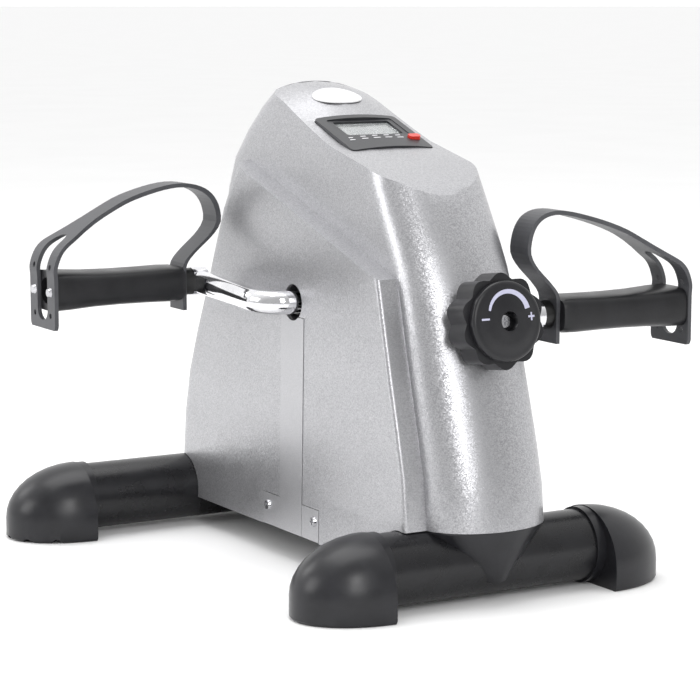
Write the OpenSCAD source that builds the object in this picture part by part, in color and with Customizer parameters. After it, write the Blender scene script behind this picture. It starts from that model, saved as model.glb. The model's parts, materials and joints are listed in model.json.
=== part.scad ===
// Pedal exerciser: two floor tubes, a moulded housing, a friction-band crank and a tilted display.
// +Z is up, -Y is the side with the tension knob, and the origin is on the floor between the tubes.

/* [Base frame] */
// Outside diameter of both floor tubes
tube_d = 50; // [44:1:60]
// Wall of the floor tubes
tube_wall = 2; // [1.5:0.1:3]
// Gap between the floor and the underside of the tubes
tube_lift = 2; // [1:0.5:6]
// Distance between the two floor tubes, centre to centre
tube_spacing = 324; // [300:1:400]
// Half the visible length of the front tube, up to its foot cap
front_reach = 88; // [80:1:160]
// Half the visible length of the rear tube, up to its foot cap
rear_reach = 155; // [120:1:200]
// Width of the steel spine that joins the tubes
spine_w = 40; // [30:1:44]
// Height of the steel spine
spine_h = 24; // [18:1:30]
// Thickness of the two bearing uprights
upright_t = 4; // [3:0.5:6]

/* [Foot caps] */
// How far a foot cap reaches past its rim
cap_len = 56; // [45:1:70]
// How far a foot cap stands out beyond the tube on each side
cap_side = 14; // [10:1:20]
// Plastic above the tube at the cap's rim
cap_over = 2; // [1.5:0.5:4]
// Height of the upright skirt below the dome
cap_skirt = 15; // [8:1:20]
// Length of the sleeve from the rim towards the housing
cap_sleeve = 7; // [4:1:12]
// Depth that the tube goes into the cap past the rim
cap_seat = 6; // [4:1:8]
// Length of the plug inside the tube
cap_plug = 24; // [15:1:40]

/* [Housing] */
// Height of the housing's crown above the floor
housing_h = 343; // [300:1:420]
// Height of the housing's lower edge above the floor
skirt_h = 22; // [16:1:30]
// Wall of the moulded housing
wall = 2.5; // [2:0.1:3.5]
// Width of the centre body at its lower edge
body_w = 94; // [84:1:112]
// Width across the two side pods at their lower edge
pod_w = 119.4; // [110:0.2:140]
// Offset of both pods to the right of the mid-plane, negative to the left
pod_shift = -4.5; // [-6:0.5:0]
// How much further back the right pod starts than the left one
right_pod_back = 14; // [0:1:30]
// Inward lean of the pod sides, in degrees
pod_draft = 0.9; // [0.4:0.1:1.5]
// Height of the pod ledge above the crank's mid-plane
ledge_h = 258; // [235:1:300]
// Forward slope of the pod ledge, in degrees
ledge_slope = 17.64; // [12:0.1:24]
// Depth of the rounded nose at its foot
nose_depth = 36; // [28:1:44]
// Radius of the centre body's rear corners
rear_round = 35; // [20:1:36]
// Radius of the pods' rear corners
pod_rear_round = 18; // [8:1:24]
// Radius of the pods' front corners
pod_front_round = 3.5; // [1.5:0.5:6]

/* [Crank and pedals] */
// Height of the crank axis above the floor
crank_h = 190; // [175:1:215]
// Crank axis position along the machine
crank_y = -12; // [-25:1:10]
// Distance from crank axis to pedal axis
crank_r = 108; // [85:1:115]
// Diameter of the crank bar
bar_d = 17; // [12:0.5:19]
// Centreline radius of the crank bends
bend_r = 22; // [18:1:26]
// Rest angle of the crank above the level, in degrees
crank_rest = 3.1; // [0:0.1:20]
// Gap between the crank bar and the pod side
arm_gap = 8.8; // [7:0.1:14]
// Offset of the crank to the right of the mid-plane, negative to the left
crank_shift = -7; // [-8:0.5:0]
// Diameter of the opening round the crank in each side
crank_hole_d = 26; // [24:0.5:36]
// Length of the pedal tread
pedal_len = 104; // [95:1:125]
// Height of the pedal at its ends
pedal_h = 29; // [24:1:36]
// Depth of the pedal front to back
pedal_depth = 42; // [34:1:56]
// Diameter of the pedal spindle
spindle_d = 12; // [10:0.5:14]
// Length of the spindle's black collar
collar_len = 7.6; // [5:0.1:12]
// Thickness of the foot strap
strap_t = 3; // [2:0.1:4]
// Width of the strap's band
strap_w = 22; // [16:1:30]
// Width of the strap's outer plate
plate_w = 44; // [36:1:54]
// Height of the strap's loop above the pedal axis
strap_h = 74; // [60:1:76]

/* [Brake and knob] */
// Radius of the brake drum
drum_r = 34; // [26:1:40]
// Width of the brake drum
drum_w = 22; // [16:1:26]
// Knob diameter over the lobes
knob_d = 65; // [52:1:76]
// Number of grip lobes on the knob
knob_lobes = 10; // [6:1:14]
// Knob depth from face to back
knob_depth = 28; // [22:1:34]
// Height of the knob's face centre above the floor
knob_h = 194; // [185:1:215]
// Distance from the housing's nose to the knob's face
knob_stand = 36.2; // [33:0.1:48]
// Upward tilt of the knob's face, in degrees
knob_tilt = 7.5; // [0:0.5:10]
// Diameter of the tension spindle
screw_d = 8; // [6:0.5:10]
// Pull of the brake band over the knob's whole turn
band_travel = 2.5; // [1.5:0.1:4]

/* [Display] */
// Width of the display's frame
console_w = 66.8; // [58:0.2:72]
// Length of the display's frame down the slope
console_len = 59.3; // [50:0.1:66]
// Centre of the display along the machine
console_y = -20.7; // [-30:0.1:-10]
// Slope of the display, in degrees
console_tilt = 19.3; // [14:0.1:24]
// Width of the viewing window
lcd_w = 46; // [36:1:52]
// Length of the viewing window down the slope
lcd_len = 24; // [18:1:30]
// Travel of the mode button
button_travel = 1.2; // [0.6:0.1:2]
// Width of the oval badge
badge_w = 40; // [24:1:46]
// Length of the oval badge
badge_len = 22; // [14:1:28]
// Centre of the badge along the machine
badge_y = 32; // [28:1:46]

/* [Hidden] */
$fn = 64;

run_gap = 0.05;
seat_gap = 0.3;
tube_r = tube_d / 2;
tube_z = tube_r + tube_lift;
tube_y = tube_spacing / 2;
cap_w = tube_r + cap_side;
cap_h = tube_z + tube_r + cap_over;
bar_r = bar_d / 2;
spindle_r = spindle_d / 2;
eye_len = 12;
arm_x = pod_w / 2 + arm_gap + bar_r;
collar_x = arm_x + eye_len / 2;
tab_x = collar_x + collar_len + seat_gap;
pedal_x = tab_x + strap_t + 0.2;
plate_x = pedal_x + pedal_len + 0.2;
cover_w = 33;
cover_top = crank_h - crank_hole_d / 2 + 3;
ear_reach = 41;
ear_top = skirt_h + 24;
cover_screw_y = 34;
cover_screw_h = 15;
felt_t = 2.5;
band_t = 1.2;
felt_gap = 0.3;
band_w = drum_w - 4;
carriage_at = drum_r + 26;
carriage_t = 6;
bracket_at = carriage_at + 32;
bracket_t = 3;
button_w = 9;
button_l = 5.5;
seat_drop = 2.7;

// ---------- curves ----------

function mix(a, b, t) = a + (b - a) * t;

// Chord slope of a table of [x, y] points at entry i
function chord(p, i) =
    let(a = max(i - 1, 0), b = min(i + 1, len(p) - 1))
    (p[b][1] - p[a][1]) / (p[b][0] - p[a][0]);

function span_of(p, x, i = 0) =
    (i >= len(p) - 2 || x < p[i + 1][0]) ? i : span_of(p, x, i + 1);

// Smooth curve through a table of [x, y] points, straight beyond its ends
function curve(p, x) =
    let(i = span_of(p, x), n = len(p) - 1)
    let(h = p[i + 1][0] - p[i][0], t = (x - p[i][0]) / h)
    let(a = chord(p, i) * h, b = chord(p, i + 1) * h, d = p[i + 1][1] - p[i][1])
    x <= p[0][0] ? p[0][1] + chord(p, 0) * (x - p[0][0]) :
    x >= p[n][0] ? p[n][1] + chord(p, n) * (x - p[n][0]) :
    p[i][1] + a * t + (3 * d - 2 * a - b) * t * t + (a + b - 2 * d) * t * t * t;

function norm2(v) = v / max(norm(v), 0.0001);

// Points of a smooth path through p, with n steps on each span
function path(p, n) = concat(
    [for (i = [0 : len(p) - 2]) for (k = [0 : n - 1])
        let(a = p[max(i - 1, 0)], b = p[i], c = p[i + 1], d = p[min(i + 2, len(p) - 1)])
        let(t = k / n)
        b + t * ((c - a) / 2 + t * ((a - 2.5 * b + 2 * c - d / 2) + t * (1.5 * (b - c) + (d - a) / 2)))],
    [p[len(p) - 1]]);

// Closed outline of a band of thickness t along the path q
function ribbon(q, t) =
    let(n = len(q) - 1)
    let(side = [for (i = [0 : n]) let(v = norm2(q[min(i + 1, n)] - q[max(i - 1, 0)])) [-v[1], v[0]] * t / 2])
    concat([for (i = [0 : n]) q[i] + side[i]], [for (i = [n : -1 : 0]) q[i] - side[i]]);

// Corner-rounded rectangle: x half-width w, from y0 to y1, corner radii r0 at y0 and r1 at y1
function slab_outline(w, y0, y1, r0, r1, n = 5) = concat(
    [for (k = [0 : n]) let(a = -90 + 90 * k / n) [w - r0 + r0 * cos(a), y0 + r0 + r0 * sin(a)]],
    [for (k = [0 : n]) let(a = 90 * k / n) [w - r1 + r1 * cos(a), y1 - r1 + r1 * sin(a)]],
    [for (k = [0 : n]) let(a = 90 + 90 * k / n) [-w + r1 + r1 * cos(a), y1 - r1 + r1 * sin(a)]],
    [for (k = [0 : n]) let(a = 180 + 90 * k / n) [-w + r0 + r0 * cos(a), y0 + r0 + r0 * sin(a)]]);

// Faces that join a stack of rings with n points each, closed at both ends
function stack_faces(rings, n) = concat(
    [for (j = [0 : rings - 2]) for (k = [0 : n - 1])
        let(a = j * n + k, b = j * n + (k + 1) % n)
        [a, a + n, b + n]],
    [for (j = [0 : rings - 2]) for (k = [0 : n - 1])
        let(a = j * n + k, b = j * n + (k + 1) % n)
        [a, b + n, b]],
    [[for (k = [0 : n - 1]) k]],
    [[for (k = [n - 1 : -1 : 0]) (rings - 1) * n + k]]);

// ---------- housing form ----------

// Share of the housing's height at height z
function rise(z) = (z - skirt_h) / (housing_h - skirt_h);

// How far each wall has leaned from its foot to its top, by share of height
rear_lean = [[0, 0], [0.07, 0], [0.243, 0.05], [0.47, 0.175], [0.79, 0.375], [0.9, 0.6], [0.98, 0.85], [1, 1]];
nose_lean = [[0, 0], [0.093, 0], [0.196, 0.03], [0.402, 0.234], [0.607, 0.457], [0.782, 0.817], [0.866, 1]];
pod_rear_lean = [[0, 0], [0.07, 0.02], [0.243, 0.08], [0.36, 0.21], [0.47, 0.39], [0.732, 0.8], [0.81, 1]];
pod_front_lean = [[0, 0], [0.1, 0.01], [0.204, 0.122], [0.405, 0.573], [0.601, 1]];

function body_rear(z) = mix(tube_y + 24, 66, curve(rear_lean, rise(z)));
function nose_start(z) = mix(-tube_y - 1.5, -76, curve(nose_lean, rise(z)));
function nose(z) = curve([[0, nose_depth + 1], [0.2, nose_depth - 3], [0.6, nose_depth - 7.5], [1, nose_depth - 9]], rise(z));
function body_half(z) = body_w / 2 - curve([[0, 0], [0.7, 2.6], [0.84, 3.7], [0.91, 6], [0.97, 8.6], [1, 10]], rise(z));
function body_front(z) = nose_start(z) - nose(z);
function pod_half(z) = pod_w / 2 - (z - skirt_h) * tan(pod_draft);
function pod_rear(z) = mix(tube_y + 16, 88, curve(pod_rear_lean, rise(z)));
function pod_front(z) = mix(-tube_y - 7, -128, curve(pod_front_lean, rise(z)));

// Height of the top surface at its side edges, and the crown across it
function deck_edge(y) = housing_h + curve([
    [-125, -75], [-110, -64], [-90, -55.5], [-70, -49], [-50, -45.3], [-35, -42.2],
    [0, -30], [40, -15.3], [50, -12], [60, -9.6], [75, -7.5]], y);
function crown(y) = curve([[-80, 0], [-50, 2], [5, 5], [30, 9], [90, 9]], min(max(y, -80), 90));
function deck(x, y) = deck_edge(y) + crown(y) * (1 - pow(x / (body_w / 2 - 5.5), 2));

// Right half of the centre body's outline at height z, inset by w, from nose to rear.
// An inset form reads the walls w higher, which keeps the wall's thickness where it leans far over.
nose_n = 11;
side_n = 7;
corner_n = 6;
half_n = nose_n + side_n + corner_n + 2;
function body_point(k, z, w) =
    let(u = z + w, r = rear_round - w)
    let(h = body_half(u) - w, d = nose(u) - w, s = nose_start(u), e = body_rear(u) - w)
    k <= nose_n ? let(a = 90 * k / nose_n) [h * sin(a), s - d * cos(a)] :
    k <= nose_n + side_n ? [h, mix(s, e - r, (k - nose_n) / side_n)] :
    k <= nose_n + side_n + corner_n ?
        let(a = 90 * (k - nose_n - side_n) / corner_n) [h - r + r * cos(a), e - r + r * sin(a)] :
    [0, e];

// Height at which outline point k meets the top surface lowered by w
function meet(k, w, lo, hi, n = 16) =
    let(m = (lo + hi) / 2, p = body_point(k, m, w))
    n == 0 ? m :
    m < deck(p[0], p[1]) - w ? meet(k, w, m, hi, n - 1) : meet(k, w, lo, m, n - 1);

// Centre body as one closed form: rings up the wall, then rows across the crowned top
module body_form(w, z0, levels = 12) {
    n = 2 * half_n - 2;
    tops = [for (k = [0 : half_n - 1]) meet(k, w, housing_h * 0.6, housing_h + 30)];
    half_of = function(k) k < half_n ? k : n - k;
    sign_of = function(k) k < half_n ? 1 : -1;
    rings = [for (j = [0 : levels]) for (k = [0 : n - 1])
        let(h = half_of(k), t = 1 - pow(1 - j / levels, 1.3), z = mix(z0, tops[h], t))
        let(p = body_point(h, z, w))
        [sign_of(k) * p[0], p[1], z]];
    // three inner points on each row that joins a left and a right edge point
    rows = [for (k = [1 : half_n - 2]) for (f = [0.5, 0, -0.5])
        let(p = body_point(k, tops[k], w))
        [f * p[0], p[1], deck(f * p[0], p[1]) - w]];
    e = levels * n;
    m = (levels + 1) * n;
    row = [for (k = [1 : half_n - 2]) [e + k, m + 3 * k - 3, m + 3 * k - 2, m + 3 * k - 1, e + n - k]];
    faces = concat(
        [for (j = [0 : levels - 1]) for (k = [0 : n - 1])
            let(a = j * n + k, b = j * n + (k + 1) % n)
            [a, a + n, b + n]],
        [for (j = [0 : levels - 1]) for (k = [0 : n - 1])
            let(a = j * n + k, b = j * n + (k + 1) % n)
            [a, b + n, b]],
        [[for (k = [0 : n - 1]) k]],
        [for (i = [0 : len(row) - 2]) for (q = [0 : 3]) [row[i][q], row[i][q + 1], row[i + 1][q + 1]]],
        [for (i = [0 : len(row) - 2]) for (q = [0 : 3]) [row[i][q], row[i + 1][q + 1], row[i + 1][q]]],
        [for (q = [0 : 3]) [e, row[0][q + 1], row[0][q]]],
        [for (q = [0 : 3]) [e + half_n - 1, row[len(row) - 1][q], row[len(row) - 1][q + 1]]]);
    polyhedron(points = concat(rings, rows), faces = faces, convexity = 6);
}

// Side pods, left and right in one form, closed on top by the sloping ledge
module pod_form(w, z0, levels = 9) {
    outline = function(z)
        let(y0 = pod_front(z) + w, y1 = pod_rear(z + w) - w)
        let(q = concat([[0, y0]], slab_outline(pod_half(z) - w, y0, y1,
            max(pod_front_round - w, 0.8), pod_rear_round - w)))
        [for (p = q) [p[0] + pod_shift, p[1] + (p[0] > 0 ? right_pod_back * (y1 - p[1]) / (y1 - y0) : 0)]];
    top = deck_edge(0);
    difference() {
        polyhedron(
            points = [for (j = [0 : levels]) let(z = mix(z0, top, j / levels)) for (p = outline(z)) [p[0], p[1], z]],
            faces = stack_faces(levels + 1, len(outline(z0))),
            convexity = 4);
        translate([0, 0, ledge_h - w / cos(ledge_slope)])
            rotate([ledge_slope, 0, 0])
                translate([-200, -400, 0])
                    cube([400, 800, 300]);
    }
}

// Places children on the display's plane: x across, y up the slope, z out of the housing
module on_console() {
    translate([0, console_y, deck_edge(console_y) + 3.3])
        rotate([console_tilt, 0, 0])
            children();
}

module rounded_block(w, l, h, r) {
    linear_extrude(height = h)
        polygon(slab_outline(w / 2, -l / 2, l / 2, r, r, 4));
}

// Places children on a pod's side: x out of the wall, y along the machine, z up the wall
module on_pod_side(side) {
    translate([pod_shift, 0, 0])
        mirrored(side)
            translate([pod_w / 2, crank_y, skirt_h])
                rotate([0, -pod_draft, 0])
                    children();
}

// Places children on the crank axis, with z along the tension spindle towards the knob
module on_tension() {
    translate([0, crank_y, crank_h])
        rotate([90 - knob_tilt, 0, 0])
            children();
}

// Knob face centre in the tension frame
knob_face_y = body_front(knob_h - knob_stand * sin(knob_tilt)) - knob_stand * cos(knob_tilt);
face_out = (crank_y - knob_face_y) * cos(knob_tilt) + (knob_h - crank_h) * sin(knob_tilt);
face_up = (knob_face_y - crank_y) * sin(knob_tilt) + (knob_h - crank_h) * cos(knob_tilt);

module on_spindle() {
    on_tension()
        translate([0, face_up, 0])
            children();
}

module at_tubes(r) {
    for (s = [-1, 1])
        translate([0, s * tube_y, tube_z])
            rotate([0, 90, 0])
                cylinder(r = r, h = 400, center = true);
}

module mirrored(side) {
    mirror([side < 0 ? 1 : 0, 0, 0])
        children();
}

// ---------- housing pieces ----------

module shell_form() {
    difference() {
        union() {
            difference() {
                union() {
                    body_form(0, skirt_h);
                    pod_form(0, skirt_h);
                }
                body_form(wall, skirt_h - 1);
                pod_form(wall, skirt_h - 1);
            }
            // seat that carries the display
            on_console()
                translate([0, 0, -13])
                    rounded_block(console_w + 2.4, console_len + 2.4, 13 - seat_drop, 3);
        }
        on_console() {
            translate([0, 0, -seat_drop])
                rounded_block(console_w + 2 * seat_gap, console_len + 2 * seat_gap, 30, 3);
            translate([0, 0, -20])
                rounded_block(console_w - 6, console_len - 6, 40, 2);
        }
        // room above the front tube's fairing, and below the rear wall
        translate([-100, -tube_y - 100, -1])
            cube([200, 100, tube_z + tube_r + 1]);
        translate([-100, tube_y, -1])
            cube([200, 100, tube_z + tube_r - 6]);
    }
}

module housing_shell() {
    color("silver")
        difference() {
            union() {
                shell_form();
                for (s = [-1, 1])
                    on_pod_side(s)
                        for (y = [-1, 1])
                            translate([-10, y * cover_screw_y, cover_screw_h])
                                rotate([0, 90, 0])
                                    cylinder(r = 4, h = 10 - wall + 0.5);
            }
            at_tubes(tube_r + 0.5);
            translate([0, crank_y, crank_h])
                rotate([0, 90, 0])
                    cylinder(d = crank_hole_d, h = 400, center = true);
            for (s = [-1, 1])
                on_pod_side(s) {
                    translate([-8, -cover_w / 2 - seat_gap, -5])
                        cube([12, cover_w + 2 * seat_gap, cover_top - skirt_h + 5 + seat_gap]);
                    translate([-1.4, -ear_reach - seat_gap, -5])
                        cube([5, 2 * ear_reach + 2 * seat_gap, ear_top - skirt_h + 5 + seat_gap]);
                    for (y = [-1, 1])
                        translate([-9, y * cover_screw_y, cover_screw_h])
                            rotate([0, 90, 0])
                                cylinder(r = 1.5, h = 20);
                }
            on_spindle()
                cylinder(r = screw_d / 2 + 2.5, h = face_out);
        }
}

// Closes the slot through which the housing passes over the crank
module slot_cover(side) {
    color("gainsboro")
        difference() {
            on_pod_side(side)
                union() {
                    translate([-wall, -cover_w / 2, 0.7])
                        cube([wall + 0.4, cover_w, cover_top - skirt_h - 0.7]);
                    translate([-1.3, -ear_reach, 0.7])
                        cube([1.5, 2 * ear_reach, ear_top - skirt_h - 0.7]);
                }
            translate([0, crank_y, crank_h])
                rotate([0, 90, 0])
                    cylinder(d = crank_hole_d, h = 400, center = true);
            on_pod_side(side)
                for (y = [-1, 1])
                    translate([-9, y * cover_screw_y, cover_screw_h])
                        rotate([0, 90, 0])
                            cylinder(r = 1.8, h = 20);
        }
}

module cover_screws() {
    color("dimgray")
        for (s = [-1, 1])
            on_pod_side(s)
                for (y = [-1, 1])
                    translate([0.2, y * cover_screw_y, cover_screw_h])
                        rotate([0, 90, 0]) {
                            translate([0, 0, -8])
                                cylinder(r = 1.5, h = 8.5);
                            difference() {
                                cylinder(r1 = 3.9, r2 = 3.3, h = 1.6);
                                for (a = [0, 90])
                                    rotate([0, 0, a])
                                        translate([-2.4, -0.45, 0.8])
                                            cube([4.8, 0.9, 2]);
                            }
                        }
}

// Dark fairing between the housing's nose and the front tube
module front_saddle() {
    top_z = tube_z + tube_r - 0.3;
    color("dimgray")
        difference() {
            hull() {
                translate([0, -tube_y + 2, top_z - 1])
                    linear_extrude(height = 1)
                        polygon([for (k = [0 : 20]) let(a = 180 + 9 * k)
                            [(body_half(top_z) - 0.5) * cos(a), (nose_depth - 0.5) * sin(a) - 3]]);
                translate([0, -tube_y + 2, tube_z - 12])
                    linear_extrude(height = 1)
                        polygon([for (k = [0 : 20]) let(a = 180 + 9 * k)
                            [15 * cos(a), (nose_depth - 8) * sin(a)]]);
            }
            at_tubes(tube_r);
            translate([-100, -tube_y, -1])
                cube([200, 60, 200]);
        }
}

// ---------- display ----------

lcd_y = 9;
button_x = console_w / 2 - 8;
button_y = -console_len / 2 + 16;

module console_case() {
    color("black")
        on_console()
            difference() {
                union() {
                    // crowned frame with a raised rim
                    intersection() {
                        translate([0, 0, -seat_drop])
                            rounded_block(console_w, console_len, 6, 3);
                        translate([0, 0, 2.6 - 240])
                            rotate([90, 0, 0])
                                cylinder(r = 240, h = console_len + 10, center = true, $fn = 200);
                    }
                    translate([0, 0, -14])
                        rounded_block(console_w - 7, console_len - 7, 14 - seat_drop + 0.5, 2);
                }
                // stepped opening round the window
                translate([0, lcd_y - 1, 0.6])
                    rounded_block(lcd_w + 8, lcd_len + 8, 5, 2.5);
                translate([0, lcd_y, -12])
                    rounded_block(lcd_w, lcd_len, 20, 1.5);
                translate([button_x, button_y, -12])
                    rounded_block(button_w + 0.6, button_l + 0.6, 20, 2);
            }
}

module lcd_window() {
    color("lightgray", 0.5)
        on_console()
            translate([0, lcd_y, -2.6])
                rounded_block(lcd_w - 0.4, lcd_len - 0.4, 1.6, 1.3);
}

module lcd_panel() {
    color("darkseagreen")
        on_console()
            translate([0, lcd_y, -7])
                rounded_block(lcd_w - 2, lcd_len - 2, 3, 1);
}

module mode_button() {
    color("red")
        on_console()
            translate([button_x, button_y, -6])
                rounded_block(button_w, button_l, 9.6, 1.8);
}

// Thin oval plate that follows the crowned top
module badge() {
    spokes = 36;
    radii = [0.001, 0.5, 1];
    point = function(r, k, up)
        let(x = badge_w / 2 * r * cos(360 * k / spokes), y = badge_y + badge_len / 2 * r * sin(360 * k / spokes))
        [x, y, deck(x, y) + up];
    color("white")
        polyhedron(
            points = concat(
                [for (r = [1, 0.5, 0.02]) for (k = [0 : spokes - 1]) point(r, k, 0.15)],
                [for (r = [0.02, 0.5, 1]) for (k = [0 : spokes - 1]) point(r, k, 0.95)]),
            faces = concat(
                [for (j = [0 : 5]) for (k = [0 : spokes - 1])
                    let(a = j * spokes + k, b = j * spokes + (k + 1) % spokes)
                    [a, b, (b + spokes) % (6 * spokes)]],
                [for (j = [0 : 5]) for (k = [0 : spokes - 1])
                    let(a = j * spokes + k, b = j * spokes + (k + 1) % spokes)
                    [a, (b + spokes) % (6 * spokes), (a + spokes) % (6 * spokes)]]));
}

// ---------- base frame ----------

module floor_tube(y, reach) {
    color("dimgray")
        translate([0, y, tube_z])
            rotate([0, 90, 0])
                difference() {
                    cylinder(r = tube_r, h = 2 * (reach + cap_seat), center = true);
                    cylinder(r = tube_r - tube_wall, h = 2 * (reach + cap_seat) + 2, center = true);
                }
}

// Dome of a foot cap: flat D-shaped foot, upright skirt and a quarter ellipsoid above it
module cap_dome() {
    arc_n = 30;
    n = arc_n + 1;
    up = cap_h - cap_skirt;
    levels = concat([[0, 0.955], [0.8, 0.98], [2.2, 1], [cap_skirt, 1]],
        [for (a = [9 : 9 : 81]) [cap_skirt + up * sin(a), cos(a)]],
        [[cap_skirt + up * sin(86), cos(86)], [cap_h, 0.02]]);
    polyhedron(
        points = [for (v = levels) for (k = [0 : arc_n])
            let(a = -90 + 180 * k / arc_n)
            [cap_len * v[1] * cos(a), cap_w * v[1] * sin(a), v[0]]],
        faces = stack_faces(len(levels), n),
        convexity = 4);
}

// Cap on the +x end of a tube; x = 0 is the rim
module foot_cap(side, y, reach, ribbed) {
    color("black")
        mirrored(side)
            translate([reach, y, 0]) {
                difference() {
                    union() {
                        cap_dome();
                        translate([-cap_sleeve, 0, tube_z])
                            rotate([0, 90, 0])
                                cylinder(r = tube_r + 1.6, h = cap_sleeve + 1);
                    }
                    // seat of the tube
                    translate([-cap_sleeve - 1, 0, tube_z])
                        rotate([0, 90, 0])
                            cylinder(r = tube_r + run_gap, h = cap_sleeve + 1 + cap_seat + 0.2);
                    if (ribbed)
                        for (a = [-56 : 28 : 56])
                            translate([cap_len * 0.62 * cos(a), cap_w * 0.62 * sin(a), -1.2])
                                rotate([0, 90, atan2(cap_w * sin(a), cap_len * cos(a))])
                                    cylinder(r = 4.2, h = 60, $fn = 32);
                }
                // plug inside the tube
                translate([-cap_plug, 0, tube_z])
                    rotate([0, 90, 0])
                        cylinder(r = tube_r - tube_wall - 0.1, h = cap_plug + cap_seat + 1);
            }
}

module frame_spine() {
    color("dimgray")
        difference() {
            translate([-spine_w / 2, -tube_y, tube_z - spine_h / 2])
                cube([spine_w, tube_spacing, spine_h]);
            translate([-spine_w / 2 + 2, -tube_y - 1, tube_z - spine_h / 2 + 2])
                cube([spine_w - 4, tube_spacing + 2, spine_h - 4]);
            at_tubes(tube_r);
        }
}

// Steel plate from the spine up to the crank bearing
module upright(side) {
    foot = 42;
    head = 18;
    base_z = tube_z - spine_h / 2;
    color("dimgray")
        mirrored(side)
            translate([spine_w / 2, 0, 0])
                rotate([90, 0, 90])
                    linear_extrude(height = upright_t)
                        difference() {
                            union() {
                                polygon([
                                    [crank_y - foot, base_z], [crank_y + foot, base_z],
                                    [crank_y + foot, base_z + spine_h], [crank_y + head, crank_h],
                                    [crank_y - head, crank_h], [crank_y - foot, base_z + spine_h]]);
                                translate([crank_y, crank_h])
                                    circle(r = head);
                            }
                            translate([crank_y, crank_h])
                                circle(r = bar_r + 4);
                            translate([crank_y, mix(base_z + spine_h, crank_h, 0.22)])
                                circle(r = 17);
                            translate([crank_y, mix(base_z + spine_h, crank_h, 0.56)])
                                circle(r = 11);
                        }
}

module bearing_bush(side) {
    color("goldenrod")
        mirrored(side)
            translate([spine_w / 2 - 3, crank_y, crank_h])
                rotate([0, 90, 0])
                    difference() {
                        union() {
                            cylinder(r = bar_r + 4, h = upright_t + 5);
                            translate([0, 0, upright_t + 3])
                                cylinder(r = bar_r + 6.5, h = 2);
                        }
                        translate([0, 0, -1])
                            cylinder(r = bar_r + run_gap, h = upright_t + 10);
                    }
}

// ---------- crank ----------

// Right half of the bent bar, along +x and then towards the pedal along +y
module bar_half() {
    arm = crank_r - bend_r;
    rotate([0, 90, 0])
        cylinder(r = bar_r, h = arm_x - bend_r);
    translate([arm_x - bend_r, bend_r, 0])
        rotate([0, 0, -90])
            rotate_extrude(angle = 90)
                translate([bend_r, 0])
                    circle(r = bar_r);
    difference() {
        union() {
            translate([arm_x, bend_r, 0])
                rotate([-90, 0, 0])
                    cylinder(r = bar_r, h = arm);
            translate([arm_x, crank_r, 0])
                rotate([0, 90, 0])
                    cylinder(r = bar_r + 2, h = eye_len, center = true);
        }
        // the bar's end is flush with the eye
        translate([arm_x + eye_len / 2, crank_r - 30, -30])
            cube([40, 60, 60]);
        translate([arm_x - eye_len / 2 - 40, crank_r - bar_r - 2, -30])
            cube([40, 60, 60]);
        translate([arm_x, crank_r, 0])
            rotate([0, 90, 0])
                cylinder(r = spindle_r - 1, h = 60, center = true);
    }
}

// Places children on the crank axis: +y towards the right pedal, or the left one when side is -1
module on_crank(side) {
    translate([crank_shift, crank_y, crank_h])
        rotate([crank_rest, 0, 0])
            rotate([side > 0 ? 180 : 0, 0, 0])
                mirrored(side)
                    children();
}

module crankshaft() {
    color("silver")
        union() {
            for (s = [-1, 1])
                on_crank(s)
                    bar_half();
        }
}

module brake_drum() {
    color("gray")
        translate([0, crank_y, crank_h])
            rotate([0, 90, 0])
                difference() {
                    union() {
                        cylinder(r = drum_r, h = drum_w, center = true);
                        cylinder(r = bar_r + 5, h = drum_w + 6, center = true);
                    }
                    for (z = [-1, 1])
                        translate([0, 0, z * (drum_w / 2 - 3)])
                            rotate([z < 0 ? 180 : 0, 0, 0])
                                difference() {
                                    cylinder(r = drum_r - 5, h = 10);
                                    translate([0, 0, -1])
                                        cylinder(r = bar_r + 5, h = 20);
                                }
                    cylinder(r = bar_r, h = drum_w + 20, center = true);
                }
}

// Places children on a pedal axis, x outwards from the middle of the machine
module on_pedal(side) {
    a = crank_rest;
    translate([crank_shift, crank_y - side * crank_r * cos(a), crank_h - side * crank_r * sin(a)])
        mirrored(side)
            children();
}

// Spindle with its black collar; it screws into the eye of the crank arm
module pedal_spindle(side) {
    color("black")
        on_pedal(side)
            rotate([0, 90, 0]) {
                translate([0, 0, arm_x - eye_len / 2])
                    cylinder(r = spindle_r - 1, h = eye_len + 1);
                translate([0, 0, collar_x + 0.02])
                    cylinder(r = spindle_r + 4, h = collar_len);
                translate([0, 0, collar_x])
                    cylinder(r = spindle_r, h = plate_x - collar_x - 8);
                translate([0, 0, plate_x - 8.2])
                    cylinder(r = spindle_r + 2.5, h = 3, $fn = 6);
            }
}

// ---------- pedals ----------

// Tread sections: share of length, half depth, half height, squareness
pedal_shape = [
    [0, 0.4, 0.4], [0.03, 0.43, 0.44], [0.12, 0.445, 0.45], [0.3, 0.455, 0.435],
    [0.5, 0.47, 0.43], [0.7, 0.485, 0.445], [0.88, 0.5, 0.485], [1, 0.5, 0.5]];

module pedal(side) {
    n = 32;
    color("black")
        on_pedal(side)
            difference() {
                polyhedron(
                    points = [for (v = pedal_shape) for (k = [0 : n - 1])
                        let(a = 360 * k / n, c = cos(a), s = sin(a))
                        [pedal_x + pedal_len * v[0],
                            pedal_depth * v[1] * sign(c) * pow(abs(c), 0.5),
                            pedal_h * v[2] * sign(s) * pow(abs(s), 0.5)]],
                    faces = stack_faces(len(pedal_shape), n),
                    convexity = 4);
                rotate([0, 90, 0]) {
                    translate([0, 0, pedal_x - 1])
                        cylinder(r = spindle_r + run_gap, h = pedal_len + 5);
                    translate([0, 0, plate_x - 9])
                        cylinder(r = spindle_r + 3.5, h = 20);
                    for (y = [-1, 1])
                        translate([0, y * stud_y, plate_x - 9])
                            cylinder(r = stud_r, h = 20);
                }
            }
}

// ---------- foot straps ----------

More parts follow.
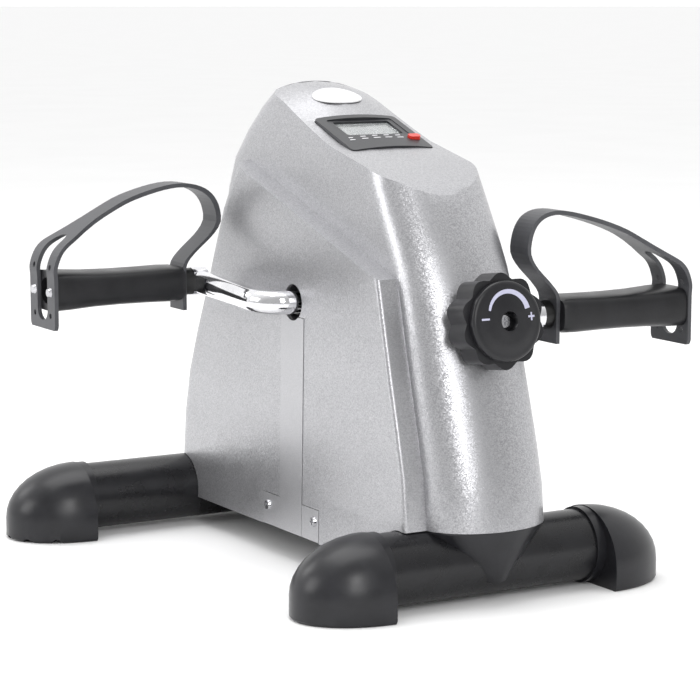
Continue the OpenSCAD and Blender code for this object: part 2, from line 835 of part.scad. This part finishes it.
stud_y = plate_w / 2 - 8;
stud_r = 1.8;
leg_w = 13;

// Centreline of the strap in x and z, from the inner tab over the foot to the outer plate
function strap_line() =
    let(x0 = tab_x + strap_t / 2, x1 = plate_x + strap_t / 2, h = strap_h - strap_t / 2)
    [[x0, -20], [x0, -6], [x0, 12], [x0 - 2, 23], [x0 - 3.6, h - 36], [x0 - 1.5, h - 16], [x0 + 6, h - 4],
        [x0 + 19, h], [x0 + 38, h - 6], [mix(x0, x1, 0.6), h - 19], [mix(x0, x1, 0.82), h - 33],
        [x1 - 6, h - 42], [x1, h - 54], [x1, 8], [x1, -10], [x1, -27]];

module foot_strap(side) {
    color("dimgray")
        on_pedal(side)
            difference() {
                rotate([90, 0, 0])
                    linear_extrude(height = plate_w, center = true)
                        polygon(ribbon(path(strap_line(), 5), strap_t));
                // band is narrower than the outer plate, and widens into it
                for (y = [-1, 1])
                    translate([0, 0, -60])
                        linear_extrude(height = 200)
                            polygon([
                                for (q = [[tab_x - 30, 0], [plate_x - 42, 0], [plate_x - 34, 0.06],
                                    [plate_x - 24, 0.3], [plate_x - 14, 0.68], [plate_x - 6, 0.92], [plate_x - 1, 1]])
                                    [q[0], y * mix(strap_w / 2, plate_w / 2, q[1])],
                                [plate_x - 1, y * plate_w], [tab_x - 30, y * plate_w]]);
                // inner tab goes round the spindle
                translate([tab_x - 5, 0, 0])
                    rotate([0, 90, 0])
                        cylinder(r = spindle_r + 0.5, h = strap_t + 12);
                // long slot between the two legs
                translate([plate_x - 26, 0, 0])
                    rotate([90, 0, 90])
                        linear_extrude(height = 40)
                            polygon(slab_outline(plate_w / 2 - leg_w, -21, strap_h - 34, 8, 8, 6));
                // rounded lower corners
                for (y = [-1, 1])
                    translate([plate_x - 5, y * (plate_w / 2 - 6), -22.5])
                        rotate([0, 90, 0])
                            difference() {
                                translate([0, y < 0 ? -10 : 0, 0])
                                    cube([10, 10, 20]);
                                translate([0, 0, -1])
                                    cylinder(r = 6, h = 22);
                            }
                // adjusting holes
                for (y = [-1, 1])
                    for (z = [-17, 0, 18])
                        translate([plate_x - 5, y * stud_y, z])
                            rotate([0, 90, 0])
                                cylinder(r = 2, h = 20);
            }
}

module strap_studs(side) {
    color("silver")
        on_pedal(side)
            for (y = [-1, 1])
                translate([plate_x, y * stud_y, 0])
                    rotate([0, 90, 0]) {
                        translate([0, 0, -8])
                            cylinder(r = stud_r, h = 8 + strap_t + 0.5);
                        translate([0, 0, strap_t])
                            cylinder(r1 = 3.6, r2 = 2.8, h = 2);
                    }
}

// ---------- brake and tension ----------

// Brake band outline: a half ring round the drum with straight legs forward
module u_strip(r, t, w, leg) {
    translate([0, 0, -band_travel])
        rotate([0, 90, 0])
            rotate([0, 0, 90])
                linear_extrude(height = w, center = true)
                    difference() {
                        union() {
                            difference() {
                                circle(r = r + t);
                                translate([-2 * r, 0])
                                    square([4 * r, 2 * r]);
                            }
                            translate([-r - t, 0])
                                square([2 * (r + t), leg + band_travel]);
                        }
                        circle(r = r);
                        translate([-r, 0])
                            square([2 * r, leg + band_travel + 1]);
                    }
}

module brake_felt() {
    color("saddlebrown")
        on_tension()
            u_strip(drum_r + felt_gap, felt_t, band_w, 12);
}

module friction_band() {
    color("silver")
        on_tension()
            u_strip(drum_r + felt_gap + felt_t, band_t, band_w, carriage_at);
}

module tension_carriage() {
    r = drum_r + felt_gap + felt_t + band_t;
    color("gray")
        difference() {
            union() {
                on_tension()
                    translate([-band_w / 2 - 2, -r - 3, carriage_at])
                        cube([band_w + 4, 2 * r + 6, carriage_t]);
                on_spindle()
                    translate([0, 0, carriage_at - 7])
                        cylinder(r = screw_d * 0.92, h = 8, $fn = 6);
            }
            on_spindle()
                cylinder(r = screw_d / 2 + run_gap, h = 200);
        }
}

// Steel bracket off the uprights that locates the spindle
module spindle_bracket() {
    x = spine_w / 2 + upright_t;
    color("dimgray")
        difference() {
            on_spindle() {
                translate([-x - bracket_t, -9, bracket_at])
                    cube([2 * (x + bracket_t), 24, bracket_t]);
                for (s = [-1, 1])
                    mirrored(s)
                        translate([x, -9, -6])
                            cube([bracket_t, 12, bracket_at + 7]);
            }
            on_spindle()
                cylinder(r = screw_d / 2 + run_gap, h = 200);
            translate([0, crank_y, crank_h])
                rotate([0, 90, 0])
                    cylinder(r = bar_r + 7, h = 200, center = true);
        }
}

module tension_spindle() {
    color("silver")
        on_spindle()
            translate([0, 0, carriage_at - 10])
                cylinder(r = screw_d / 2, h = face_out - 10 - carriage_at + 10);
}

module spindle_collars() {
    color("gray")
        on_spindle()
            for (z = [bracket_at - 4.5, bracket_at + bracket_t + 0.5])
                translate([0, 0, z])
                    difference() {
                        cylinder(r = screw_d / 2 + 3.5, h = 4);
                        translate([0, 0, -1])
                            cylinder(r = screw_d / 2, h = 6);
                    }
}

// Lobed grip with a domed face, a deep centre recess and a rear hub
module tension_knob() {
    valley = knob_d / 2 - 3.6;
    face_r = knob_d / 2 - 5.5;
    color("black")
        on_spindle()
            translate([0, 0, face_out])
                difference() {
                    union() {
                        translate([0, 0, -knob_depth])
                            linear_extrude(height = knob_depth - 8)
                                polygon([for (k = [0 : 12 * knob_lobes - 1])
                                    let(a = 30 * k / knob_lobes)
                                    let(r = mix(valley, knob_d / 2, pow((1 - cos(a * knob_lobes)) / 2, 0.7)))
                                    [r * cos(a), r * sin(a)]]);
                        rotate_extrude($fn = 96)
                            polygon(concat([[0, -12], [face_r, -12]],
                                [for (a = [0 : 10 : 90])
                                    [face_r - 3.5 + 3.5 * cos(a), -4.6 + 2.2 * sin(a)]],
                                [[face_r * 0.62, -0.9], [face_r * 0.3, -0.1], [0, 0]]));
                        translate([0, 0, -knob_stand + 3.6])
                            cylinder(r = screw_d / 2 + 4, h = knob_stand - knob_depth - 2);
                    }
                    // recess for the screw, and the bore for the spindle
                    translate([0, 0, -9])
                        cylinder(r = 6.6, h = 20);
                    translate([0, 0, -knob_stand])
                        cylinder(r = screw_d / 2, h = knob_stand - 10);
                    translate([0, 0, -11])
                        cylinder(r = 2.2, h = 5);
                }
}

module knob_screw() {
    color("gray")
        on_spindle()
            translate([0, 0, face_out - 9])
                difference() {
                    cylinder(r = 4.2, h = 2.6);
                    for (a = [0, 90])
                        rotate([0, 0, a])
                            translate([-2.6, -0.5, 1.4])
                                cube([5.2, 1, 3]);
                }
}

floor_tube(-tube_y, front_reach);  // front_tube
floor_tube(tube_y, rear_reach);  // rear_tube
frame_spine();
upright(-1);  // upright_left
upright(1);  // upright_right
bearing_bush(-1);  // bearing_bush_left
bearing_bush(1);  // bearing_bush_right
front_saddle();
foot_cap(-1, -tube_y, front_reach, false);  // foot_cap_front_left
foot_cap(1, -tube_y, front_reach, false);  // foot_cap_front_right
foot_cap(-1, tube_y, rear_reach, true);  // foot_cap_rear_left
foot_cap(1, tube_y, rear_reach, true);  // foot_cap_rear_right
housing_shell();
slot_cover(-1);  // slot_cover_left
slot_cover(1);  // slot_cover_right
cover_screws();
console_case();
lcd_window();
lcd_panel();
mode_button();
badge();
crankshaft();
brake_drum();
pedal_spindle(-1);  // pedal_spindle_left
pedal_spindle(1);  // pedal_spindle_right
pedal(-1);  // pedal_left
pedal(1);  // pedal_right
foot_strap(-1);  // foot_strap_left
foot_strap(1);  // foot_strap_right
strap_studs(-1);  // strap_studs_left
strap_studs(1);  // strap_studs_right
friction_band();
brake_felt();
tension_carriage();
spindle_bracket();
tension_spindle();
spindle_collars();
tension_knob();
knob_screw();
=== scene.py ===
"""Pedal exerciser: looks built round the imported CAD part."""
import json
import math
import bpy
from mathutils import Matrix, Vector


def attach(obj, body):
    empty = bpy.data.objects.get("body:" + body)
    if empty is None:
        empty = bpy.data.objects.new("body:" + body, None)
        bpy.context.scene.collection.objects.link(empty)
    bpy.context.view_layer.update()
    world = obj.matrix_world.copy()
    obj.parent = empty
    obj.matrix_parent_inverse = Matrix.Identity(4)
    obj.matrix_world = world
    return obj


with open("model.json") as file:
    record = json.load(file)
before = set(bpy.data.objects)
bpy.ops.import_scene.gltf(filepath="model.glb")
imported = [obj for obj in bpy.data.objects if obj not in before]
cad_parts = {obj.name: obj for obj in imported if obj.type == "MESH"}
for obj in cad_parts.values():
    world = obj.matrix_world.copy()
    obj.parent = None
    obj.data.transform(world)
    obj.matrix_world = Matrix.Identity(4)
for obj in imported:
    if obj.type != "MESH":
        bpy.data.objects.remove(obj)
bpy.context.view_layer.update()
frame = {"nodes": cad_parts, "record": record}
NODES = frame["nodes"]


# ---------- materials ----------

def material(name, metallic=0.0, coat=0.0):
    """A new material, its node tree and its shader."""
    m = bpy.data.materials.new(name)
    m.use_nodes = True
    b = m.node_tree.nodes["Principled BSDF"]
    b.inputs["Metallic"].default_value = metallic
    b.inputs["Coat Weight"].default_value = coat
    b.inputs["Coat Roughness"].default_value = 0.12
    return m, m.node_tree, b


def add(nt, kind, **inputs):
    """A node with some of its inputs set; an underscore stands for a space."""
    n = nt.nodes.new(kind)
    for key, value in inputs.items():
        n.inputs[key.replace("_", " ")].default_value = value
    return n


def coords(nt):
    return add(nt, "ShaderNodeTexCoord").outputs["Object"]


def noise(nt, where, scale, detail=4.0):
    n = add(nt, "ShaderNodeTexNoise", Scale=scale, Detail=detail, Roughness=0.55)
    nt.links.new(where, n.inputs["Vector"])
    return n.outputs["Fac"]


def ramp(nt, fac, low, high, a=0.3, b=0.7):
    """Colour that goes from low at a to high at b."""
    r = nt.nodes.new("ShaderNodeValToRGB")
    r.color_ramp.elements[0].position = a
    r.color_ramp.elements[1].position = b
    r.color_ramp.elements[0].color = (*low, 1)
    r.color_ramp.elements[1].color = (*high, 1)
    nt.links.new(fac, r.inputs["Fac"])
    return r.outputs["Color"]


def span(nt, fac, low, high):
    """Noise from 0.3 to 0.7 spread over low to high."""
    r = nt.nodes.new("ShaderNodeMapRange")
    r.inputs["From Min"].default_value = 0.3
    r.inputs["From Max"].default_value = 0.7
    r.inputs["To Min"].default_value = low
    r.inputs["To Max"].default_value = high
    nt.links.new(fac, r.inputs["Value"])
    return r.outputs["Result"]


def bump(nt, height, strength, distance):
    b = add(nt, "ShaderNodeBump", Strength=strength, Distance=distance)
    nt.links.new(height, b.inputs["Height"])
    return b.outputs["Normal"]


def plain(name, low, high, rough=(0.35, 0.45), metallic=0.0, scale=60.0,
          grain=900.0, grain_strength=0.15, grain_depth=0.0002, coat=0.0, shine=0.5):
    m, nt, b = material(name, metallic, coat)
    b.inputs["Specular IOR Level"].default_value = shine
    at = coords(nt)
    f = noise(nt, at, scale)
    nt.links.new(ramp(nt, f, low, high), b.inputs["Base Color"])
    nt.links.new(span(nt, f, *rough), b.inputs["Roughness"])
    nt.links.new(bump(nt, noise(nt, at, grain, 2.0), grain_strength, grain_depth), b.inputs["Normal"])
    return m


def flake(name, low, high, tilt, cells, rough, coat=0.35, metallic=0.55):
    """Metallic paint: each small cell has its own shade and its own slightly tilted face."""
    m, nt, b = material(name, metallic, coat)
    at = coords(nt)
    v = add(nt, "ShaderNodeTexVoronoi", Scale=cells)
    nt.links.new(at, v.inputs["Vector"])
    parts = nt.nodes.new("ShaderNodeSeparateColor")
    nt.links.new(v.outputs["Color"], parts.inputs["Color"])
    nt.links.new(ramp(nt, parts.outputs["Red"], low, high, 0.05, 0.98), b.inputs["Base Color"])
    nt.links.new(span(nt, noise(nt, at, 30.0), *rough), b.inputs["Roughness"])
    off = nt.nodes.new("ShaderNodeVectorMath")
    off.operation = "SUBTRACT"
    off.inputs[1].default_value = (0.5, 0.5, 0.5)
    nt.links.new(v.outputs["Color"], off.inputs[0])
    small = nt.nodes.new("ShaderNodeVectorMath")
    small.operation = "SCALE"
    small.inputs["Scale"].default_value = tilt
    nt.links.new(off.outputs["Vector"], small.inputs[0])
    geo = nt.nodes.new("ShaderNodeNewGeometry")
    total = nt.nodes.new("ShaderNodeVectorMath")
    total.operation = "ADD"
    nt.links.new(geo.outputs["Normal"], total.inputs[0])
    nt.links.new(small.outputs["Vector"], total.inputs[1])
    unit = nt.nodes.new("ShaderNodeVectorMath")
    unit.operation = "NORMALIZE"
    nt.links.new(total.outputs["Vector"], unit.inputs[0])
    nt.links.new(unit.outputs["Vector"], b.inputs["Normal"])
    return m


def clear_glass(name):
    m, nt, b = material(name)
    f = noise(nt, coords(nt), 80.0)
    nt.links.new(ramp(nt, f, (0.80, 0.83, 0.83), (0.88, 0.90, 0.90)), b.inputs["Base Color"])
    nt.links.new(span(nt, f, 0.03, 0.07), b.inputs["Roughness"])
    b.inputs["Transmission Weight"].default_value = 0.75
    b.inputs["IOR"].default_value = 1.45
    return m


# one material for each slot of the record
BY_SLOT = {
    "silver_flake": flake("silver_flake", (0.33, 0.33, 0.345), (0.48, 0.48, 0.495),
                          tilt=0.13, cells=1500.0, rough=(0.32, 0.38), coat=0.15, metallic=0.8),
    "silver_smooth": flake("silver_smooth", (0.40, 0.40, 0.415), (0.48, 0.48, 0.495),
                           tilt=0.05, cells=2400.0, rough=(0.32, 0.38), coat=0.15, metallic=0.8),
    "tube_paint": plain("tube_paint", (0.007, 0.007, 0.008), (0.012, 0.012, 0.014), (0.24, 0.32),
                        grain_strength=0.08, shine=0.38),
    "frame_paint": plain("frame_paint", (0.020, 0.020, 0.022), (0.035, 0.035, 0.038), (0.4, 0.5)),
    "cap_plastic": plain("cap_plastic", (0.009, 0.009, 0.011), (0.015, 0.015, 0.018), (0.28, 0.36),
                         grain=1400.0, grain_strength=0.10, shine=0.4),
    "pedal_plastic": plain("pedal_plastic", (0.007, 0.007, 0.008), (0.014, 0.014, 0.016), (0.34, 0.44),
                           grain=1300.0, grain_strength=0.2, shine=0.35),
    "knob_plastic": plain("knob_plastic", (0.008, 0.008, 0.010), (0.014, 0.014, 0.016), (0.30, 0.38),
                          grain=1300.0, grain_strength=0.12, shine=0.38),
    "console_black": plain("console_black", (0.020, 0.021, 0.024), (0.032, 0.033, 0.037), (0.36, 0.44),
                           grain=1500.0, grain_strength=0.12),
    "strap_rubber": plain("strap_rubber", (0.050, 0.051, 0.056), (0.072, 0.073, 0.080), (0.40, 0.48),
                          grain=1100.0, grain_strength=0.2, shine=0.4),
    "collar_black": plain("collar_black", (0.012, 0.012, 0.012), (0.022, 0.022, 0.022), (0.3, 0.38),
                          metallic=0.3),
    "crank_chrome": plain("crank_chrome", (0.72, 0.72, 0.74), (0.84, 0.84, 0.86), (0.07, 0.13),
                          metallic=1.0, grain_strength=0.02),
    "screw_steel": plain("screw_steel", (0.45, 0.45, 0.47), (0.62, 0.62, 0.64), (0.18, 0.28),
                         metallic=1.0, grain_strength=0.06),
    "band_steel": plain("band_steel", (0.42, 0.42, 0.44), (0.58, 0.58, 0.60), (0.3, 0.4),
                        metallic=1.0, grain_strength=0.1),
    "cast_steel": plain("cast_steel", (0.20, 0.20, 0.21), (0.32, 0.32, 0.33), (0.38, 0.5),
                        metallic=0.9, grain_strength=0.3),
    "bronze": plain("bronze", (0.48, 0.30, 0.12), (0.62, 0.42, 0.20), (0.3, 0.42), metallic=1.0),
    "felt": plain("felt", (0.13, 0.09, 0.055), (0.22, 0.16, 0.10), (0.85, 0.95),
                  grain=500.0, grain_strength=0.7, grain_depth=0.0006),
    "button_red": plain("button_red", (0.62, 0.030, 0.018), (0.74, 0.045, 0.025), (0.28, 0.36), coat=0.2),
    "badge_white": plain("badge_white", (0.72, 0.72, 0.73), (0.80, 0.80, 0.81), (0.22, 0.3), coat=0.4),
    "lcd_grey": plain("lcd_grey", (0.16, 0.175, 0.185), (0.21, 0.225, 0.235), (0.3, 0.4),
                      grain_strength=0.05),
    "lcd_glass": clear_glass("lcd_glass"),
}
mark_white = plain("mark_white", (0.62, 0.62, 0.64), (0.74, 0.74, 0.76), (0.4, 0.5))
mark_lilac = plain("mark_lilac", (0.42, 0.42, 0.56), (0.52, 0.52, 0.64), (0.35, 0.45))

for part in frame["record"]["subparts"]:
    o = NODES[part["node"]]
    o.data.materials.clear()
    o.data.materials.append(BY_SLOT[part["material_slot"]])


# ---------- smooth shading ----------

def soften(nodes, angle):
    """Faces that meet at less than the angle shade as one surface."""
    g = bpy.data.node_groups.new("soften_%d" % angle, "GeometryNodeTree")
    g.interface.new_socket("Geometry", in_out="INPUT", socket_type="NodeSocketGeometry")
    g.interface.new_socket("Geometry", in_out="OUTPUT", socket_type="NodeSocketGeometry")
    i = g.nodes.new("NodeGroupInput")
    e = g.nodes.new("NodeGroupOutput")
    bare = g.nodes.new("GeometryNodeRemoveAttribute")
    bare.inputs["Name"].default_value = "custom_normal"
    weld = g.nodes.new("GeometryNodeMergeByDistance")
    weld.inputs["Distance"].default_value = 0.000002
    faces = g.nodes.new("GeometryNodeSetShadeSmooth")
    edges = g.nodes.new("GeometryNodeSetShadeSmooth")
    edges.domain = "EDGE"
    edges.inputs["Shade Smooth"].default_value = False
    bend = g.nodes.new("GeometryNodeInputMeshEdgeAngle")
    sharp = g.nodes.new("FunctionNodeCompare")
    sharp.data_type = "FLOAT"
    sharp.operation = "GREATER_THAN"
    sharp.inputs[1].default_value = math.radians(angle)
    g.links.new(bend.outputs["Unsigned Angle"], sharp.inputs[0])
    g.links.new(i.outputs[0], bare.inputs["Geometry"])
    g.links.new(bare.outputs["Geometry"], weld.inputs["Geometry"])
    g.links.new(weld.outputs["Geometry"], faces.inputs["Geometry"])
    g.links.new(faces.outputs["Geometry"], edges.inputs["Geometry"])
    g.links.new(sharp.outputs["Result"], edges.inputs["Selection"])
    g.links.new(edges.outputs["Geometry"], e.inputs[0])
    for node in nodes:
        NODES[node].modifiers.new("soften", "NODES").node_group = g


soften(["foot_cap_front_left", "foot_cap_front_right", "foot_cap_rear_left", "foot_cap_rear_right"], 32)
soften(["housing_shell", "front_saddle", "pedal_left", "pedal_right", "tension_knob"], 24)


# ---------- slack of the foot straps ----------

def smooth(nt, value, low, high):
    r = nt.nodes.new("ShaderNodeMapRange")
    r.interpolation_type = "SMOOTHSTEP"
    r.inputs["From Min"].default_value = low
    r.inputs["From Max"].default_value = high
    nt.links.new(value, r.inputs["Value"])
    return r.outputs["Result"]


def times(nt, a, b):
    """Product of two sockets, or of a socket and a number."""
    n = nt.nodes.new("ShaderNodeMath")
    n.operation = "MULTIPLY"
    for i, v in enumerate((a, b)):
        if isinstance(v, float):
            n.inputs[i].default_value = v
        else:
            nt.links.new(v, n.inputs[i])
    return n.outputs["Value"]


def slack(node, side, axis_z, sag):
    """The loop sags towards the housing: its inner part moves in X by up to sag.
    The move grows with height above the pedal axis and fades towards the outer plate."""
    g = bpy.data.node_groups.new("slack_" + node, "GeometryNodeTree")
    g.interface.new_socket("Geometry", in_out="INPUT", socket_type="NodeSocketGeometry")
    g.interface.new_socket("Geometry", in_out="OUTPUT", socket_type="NodeSocketGeometry")
    i = g.nodes.new("NodeGroupInput")
    e = g.nodes.new("NodeGroupOutput")
    pos = g.nodes.new("GeometryNodeInputPosition")
    xyz = g.nodes.new("ShaderNodeSeparateXYZ")
    g.links.new(pos.outputs["Position"], xyz.inputs["Vector"])
    out = times(g, xyz.outputs["X"], float(side))
    rise = smooth(g, xyz.outputs["Z"], axis_z + 0.011, axis_z + 0.048)
    near = smooth(g, out, 0.150, 0.088)
    shift = times(g, times(g, rise, near), -sag * side)
    vec = g.nodes.new("ShaderNodeCombineXYZ")
    g.links.new(shift, vec.inputs["X"])
    move = g.nodes.new("GeometryNodeSetPosition")
    g.links.new(i.outputs[0], move.inputs["Geometry"])
    g.links.new(vec.outputs["Vector"], move.inputs["Offset"])
    g.links.new(move.outputs["Geometry"], e.inputs[0])
    m = NODES[node].modifiers.new("slack", "NODES")
    m.node_group = g


PEDAL_RISE = 0.00584
CRANK_Z = 0.19
slack("foot_strap_left", -1, CRANK_Z + PEDAL_RISE, sag=0.027)
slack("foot_strap_right", 1, CRANK_Z - PEDAL_RISE, sag=0.022)


# ---------- printed marks ----------

def piece(name, verts, faces, mat, body, slot):
    me = bpy.data.meshes.new(name)
    me.from_pydata(verts, [], faces)
    me.materials.append(mat)
    o = bpy.data.objects.new(name, me)
    bpy.context.collection.objects.link(o)
    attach(o, body)


def prism(rings, n):
    """Closed mesh from two stacked outlines with n points each."""
    verts = [p for ring in rings for p in ring]
    faces = [tuple(range(n))[::-1], tuple(range(n, 2 * n))]
    faces += [(k, (k + 1) % n, n + (k + 1) % n, n + k) for k in range(n)]
    return verts, faces


# the knob's face: its centre, outward axis and upward direction; sizes on it are in millimetres
TILT = math.radians(7.5)
KNOB = Vector((0, -0.197961, 0.194))
OUT = Vector((0, -math.cos(TILT), math.sin(TILT)))
UP = Vector((0, math.sin(TILT), math.cos(TILT)))
SIDE = Vector((1, 0, 0))


def dome(r):
    """Height of the knob's domed face at radius r."""
    pts = [(0, 0), (8.1, -0.1), (16.74, -0.9), (23.5, -2.4), (25.25, -2.695), (26.5, -3.5), (27, -4.6)]
    for (a, x), (c, y) in zip(pts, pts[1:]):
        if r <= c:
            return x + (y - x) * (r - a) / (c - a)
    return -4.6


def on_knob(x, y, lift):
    return KNOB + SIDE * x * 0.001 + UP * y * 0.001 + OUT * (dome(math.hypot(x, y)) + lift) * 0.001


def knob_band(name, pts, mat):
    """Strip of quads over (inner, outer) pairs of points on the knob's face."""
    verts = []
    for a, c in pts:
        for lift in (-0.1, 0.22):
            verts.append(on_knob(*a, lift))
            mid = ((a[0] + c[0]) / 2, (a[1] + c[1]) / 2)
            verts.append(on_knob(*mid, lift))
            verts.append(on_knob(*c, lift))
    faces = []
    for k in range(len(pts) - 1):
        a, c = 6 * k, 6 * k + 6
        faces += [(a + 3, a + 4, c + 4, c + 3), (a + 4, a + 5, c + 5, c + 4)]
        faces += [(a, c, c + 1, a + 1), (a + 1, c + 1, c + 2, a + 2)]
        faces += [(a, a + 3, c + 3, c), (a + 2, c + 2, c + 5, a + 5)]
    e = 6 * (len(pts) - 1)
    faces += [(0, 1, 4, 3), (1, 2, 5, 4), (e + 3, e + 4, e + 1, e), (e + 4, e + 5, e + 2, e + 1)]
    piece(name, verts, faces, mat, "knob", "badge_white")


def arc(a0, a1, n, r0, r1, cy, taper=False):
    pts = []
    for k in range(n + 1):
        t = math.radians(a0 + (a1 - a0) * k / n)
        w = 0.35 + 0.65 * k / n if taper else 1.0
        mid, half = (r0 + r1) / 2, (r1 - r0) / 2 * w
        c, s = math.sin(t), math.cos(t)
        pts.append((((mid - half) * c, cy + (mid - half) * s), ((mid + half) * c, cy + (mid + half) * s)))
    return pts


knob_band("knob_arc", arc(-78, 78, 36, 13.1, 17.4, 4.6, taper=True), mark_lilac)
knob_band("knob_minus", [((-21, 1.6), (-21, 2.9)), ((-15.5, 1.6), (-15.5, 2.9))], mark_lilac)
knob_band("knob_plus_bar", [((15.0, 1.6), (15.0, 2.9)), ((20.6, 1.6), (20.6, 2.9))], mark_lilac)
knob_band("knob_plus_post", [((17.2, -0.5), (18.5, -0.5)), ((17.2, 5.0), (18.5, 5.0))], mark_lilac)

# the display's plane: its origin, direction up the slope and normal
CT = math.radians(19.3)
CROWN_TOP = 2.6
CROWN_R = 240
CON = Vector((0, -0.0207, 0.308837))
CU = Vector((0, math.cos(CT), math.sin(CT)))
CN = Vector((0, -math.sin(CT), math.cos(CT)))


def on_display(x, y, z):
    return CON + SIDE * x * 0.001 + CU * y * 0.001 + CN * z * 0.001


def label(name, x, y, w, h):
    """A printed bar on the display's crowned frame."""
    top = CROWN_TOP - CROWN_R + math.sqrt(CROWN_R ** 2 - x * x)
    ring = [(x - w / 2, y - h / 2), (x + w / 2, y - h / 2), (x + w / 2, y + h / 2), (x - w / 2, y + h / 2)]
    low, high = ([on_display(a, c, top + lift) for a, c in ring] for lift in (-0.3, 0.12))
    piece(name, *prism([low, high], 4), mark_white, "base", "badge_white")


MARKS_PER_ROW = 5
for row, row_y in enumerate((-9.6, -13.4)):
    for j in range(MARKS_PER_ROW):
        width = 5.6 if row % 2 else 4.2
        label("display_mark_%d" % (MARKS_PER_ROW * row + j), 9.5 * j - 24, row_y, width, 1.1)


# ---------- stage, light and camera ----------

floor_me = bpy.data.meshes.new("floor")
REACH = 90
corners = [(-REACH, -REACH, 0), (REACH, -REACH, 0), (REACH, REACH, 0), (-REACH, REACH, 0)]
floor_me.from_pydata(corners, [], [(0, 1, 2, 3)])
floor = bpy.data.objects.new("floor", floor_me)
bpy.context.collection.objects.link(floor)
floor_me.materials.append(plain("floor_pale", (0.93, 0.93, 0.93), (0.95, 0.95, 0.95), (0.8, 0.9),
                                scale=4.0, grain_strength=0.0, shine=0.2))

world = bpy.data.worlds.new("studio")
bpy.context.scene.world = world
world.use_nodes = True
bg = world.node_tree.nodes["Background"]
bg.inputs["Color"].default_value = (1, 1, 1, 1)
# brighter behind the object than in front of it
wt = world.node_tree
facing = wt.nodes.new("ShaderNodeVectorMath")
facing.operation = "DOT_PRODUCT"
facing.inputs[1].default_value = (0.35, 0.92, 0.15)
wt.links.new(wt.nodes.new("ShaderNodeTexCoord").outputs["Generated"], facing.inputs[0])
fade = wt.nodes.new("ShaderNodeMapRange")
fade.interpolation_type = "SMOOTHSTEP"
fade.inputs["From Min"].default_value = -0.7
fade.inputs["From Max"].default_value = 0.35
fade.inputs["To Min"].default_value = 0.55
fade.inputs["To Max"].default_value = 1.2
wt.links.new(facing.outputs["Value"], fade.inputs["Value"])
wt.links.new(fade.outputs["Result"], bg.inputs["Strength"])


def area(name, at, to, size_x, size_y, power):
    lamp = bpy.data.lights.new(name, "AREA")
    lamp.shape = "RECTANGLE"
    lamp.size = size_x
    lamp.size_y = size_y
    lamp.energy = power
    o = bpy.data.objects.new(name, lamp)
    o.location = at
    o.rotation_euler = (Vector(to) - Vector(at)).to_track_quat("-Z", "Y").to_euler()
    bpy.context.collection.objects.link(o)


area("key", (-0.55, -2.0, 1.15), (0, 0, 0.15), 0.35, 1.5, 17)
area("side", (-2.1, 0.2, 1.0), (0, 0, 0.2), 1.0, 1.0, 12)
area("rear", (-1.2, 1.5, 1.4), (0, 0, 0.15), 0.8, 0.8, 6)
area("top", (0, 0.3, 2.2), (0, 0, 0.2), 1.6, 1.6, 20)

cam = bpy.data.cameras.new("camera")
cam.lens = 127.15
cam.sensor_width = 36
cam.clip_end = 50
camera = bpy.data.objects.new("camera", cam)
camera.location = (-0.9035, -1.5454, 0.4135)
look = Vector((0.49617, 0.85588, -0.14588))
camera.rotation_euler = look.to_track_quat("-Z", "Y").to_euler()
bpy.context.collection.objects.link(camera)
bpy.context.scene.camera = camera
bpy.context.scene.view_settings.view_transform = "Standard"
